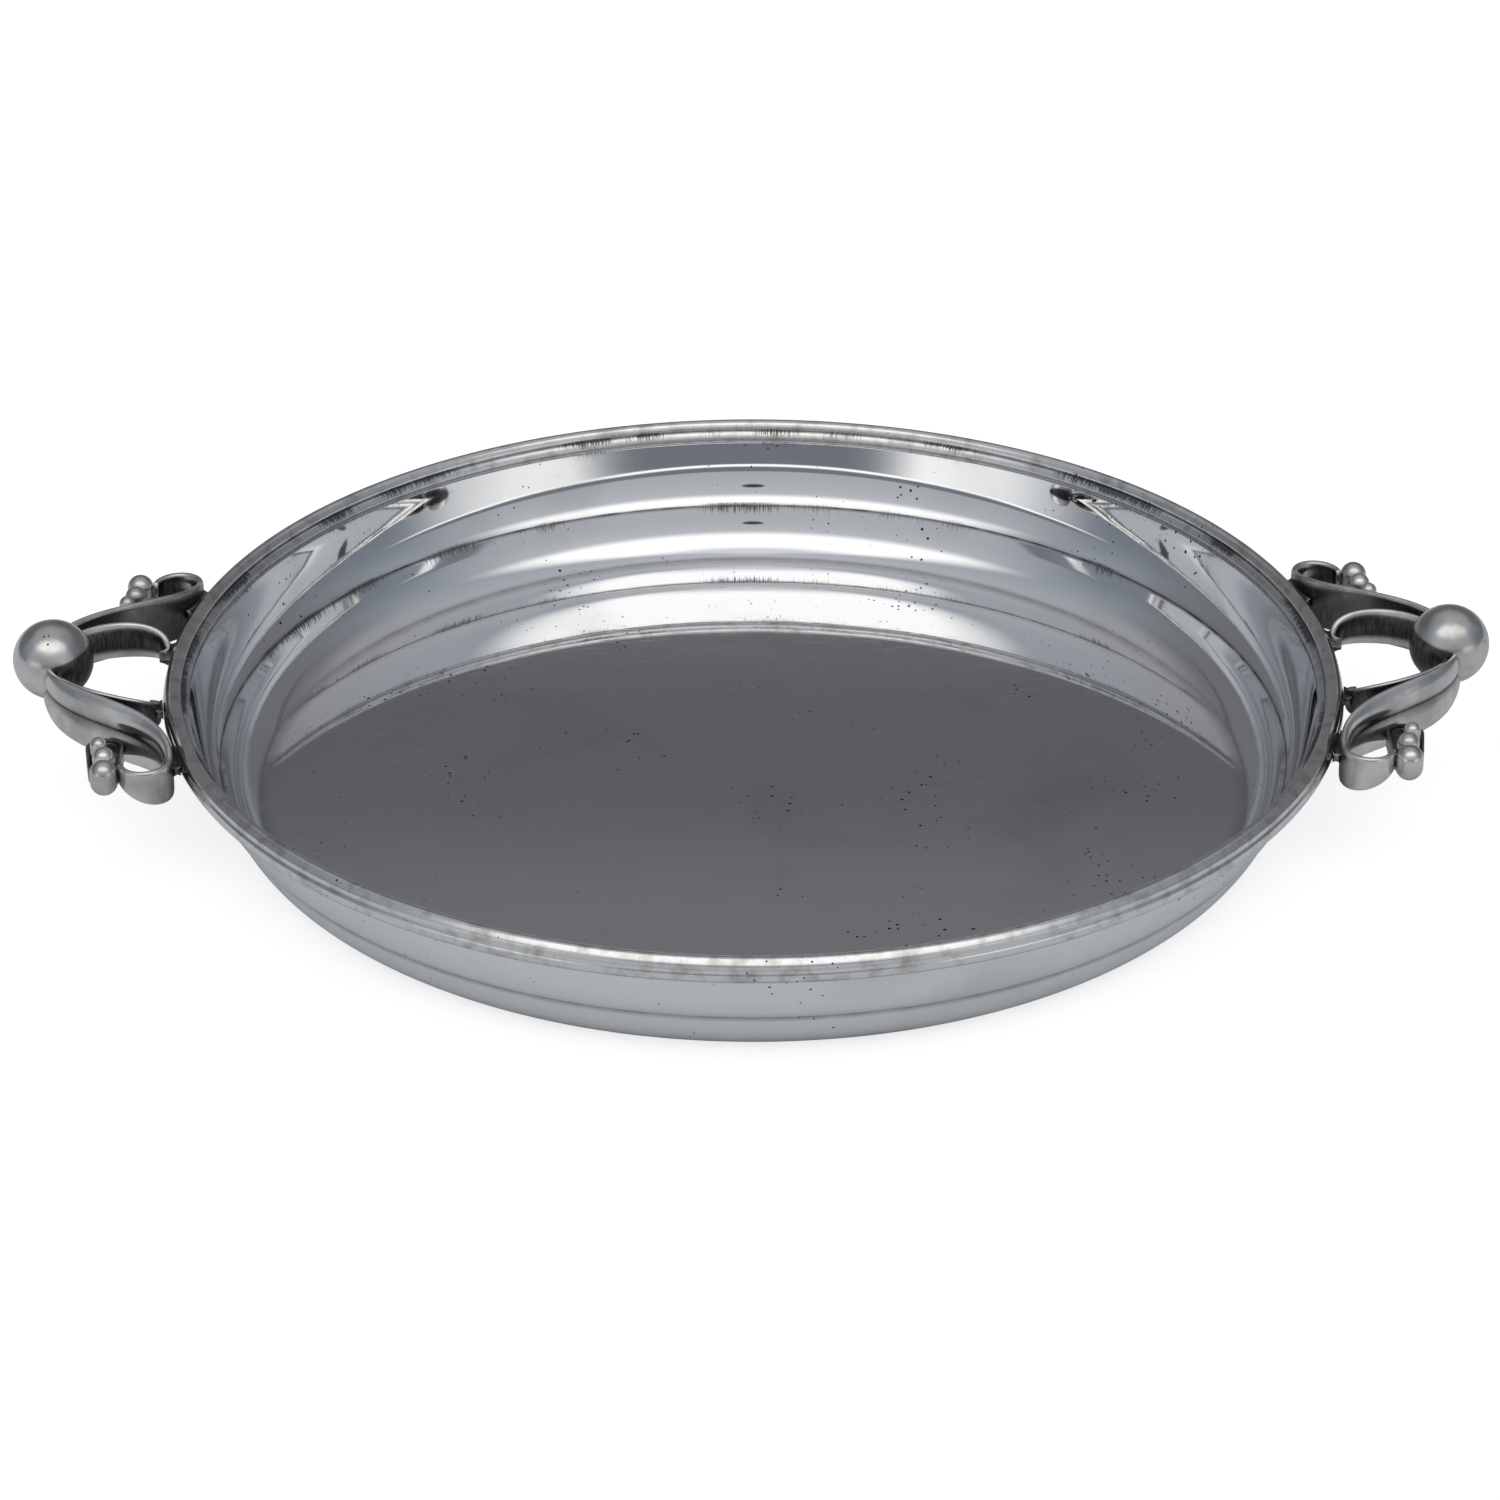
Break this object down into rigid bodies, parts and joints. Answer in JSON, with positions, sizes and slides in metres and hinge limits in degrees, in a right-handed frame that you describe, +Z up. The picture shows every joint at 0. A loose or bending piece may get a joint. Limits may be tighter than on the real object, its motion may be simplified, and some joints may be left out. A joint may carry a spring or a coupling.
{
  "type": "round serving tray",
  "caption": "Round silver serving tray: spun dish with a stepped wall and reeded rim band, and side handles of bent scroll strips gathered at a ball; stands flat, carries cups or food.",
  "frame": {"origin": "centre of the flat underside", "axes": "+X through the middles of the handles, +Y towards the back, +Z up out of the dish"},
  "size_m": [0.3136, 0.25, 0.0396],
  "materials": {
    "polished_silver": "polished silver with fine use scratches",
    "satin_silver": "satin silver, darkened in the hollows",
    "dark_silver": "oxidised silver and solder"
  },
  "bodies": {
    "root": {"tray_body": "polished_silver", "rim_band": "polished_silver", "right_ball": "satin_silver", "left_ball": "satin_silver", "right_front_scroll": "satin_silver", "right_front_leaf": "satin_silver", "right_front_large_stud": "satin_silver", "right_front_medium_stud": "satin_silver", "right_front_small_stud": "satin_silver", "right_front_cup": "dark_silver", "right_front_scroll_lug": "dark_silver", "right_front_leaf_lug": "dark_silver", "right_back_scroll": "satin_silver", "right_back_leaf": "satin_silver", "right_back_large_stud": "satin_silver", "right_back_medium_stud": "satin_silver", "right_back_small_stud": "satin_silver", "right_back_cup": "dark_silver", "right_back_scroll_lug": "dark_silver", "right_back_leaf_lug": "dark_silver", "left_front_scroll": "satin_silver", "left_front_leaf": "satin_silver", "left_front_large_stud": "satin_silver", "left_front_medium_stud": "satin_silver", "left_front_small_stud": "satin_silver", "left_front_cup": "dark_silver", "left_front_scroll_lug": "dark_silver", "left_front_leaf_lug": "dark_silver", "left_back_scroll": "satin_silver", "left_back_leaf": "satin_silver", "left_back_large_stud": "satin_silver", "left_back_medium_stud": "satin_silver", "left_back_small_stud": "satin_silver", "left_back_cup": "dark_silver", "left_back_scroll_lug": "dark_silver", "left_back_leaf_lug": "dark_silver"}
  },
  "joints": []
}
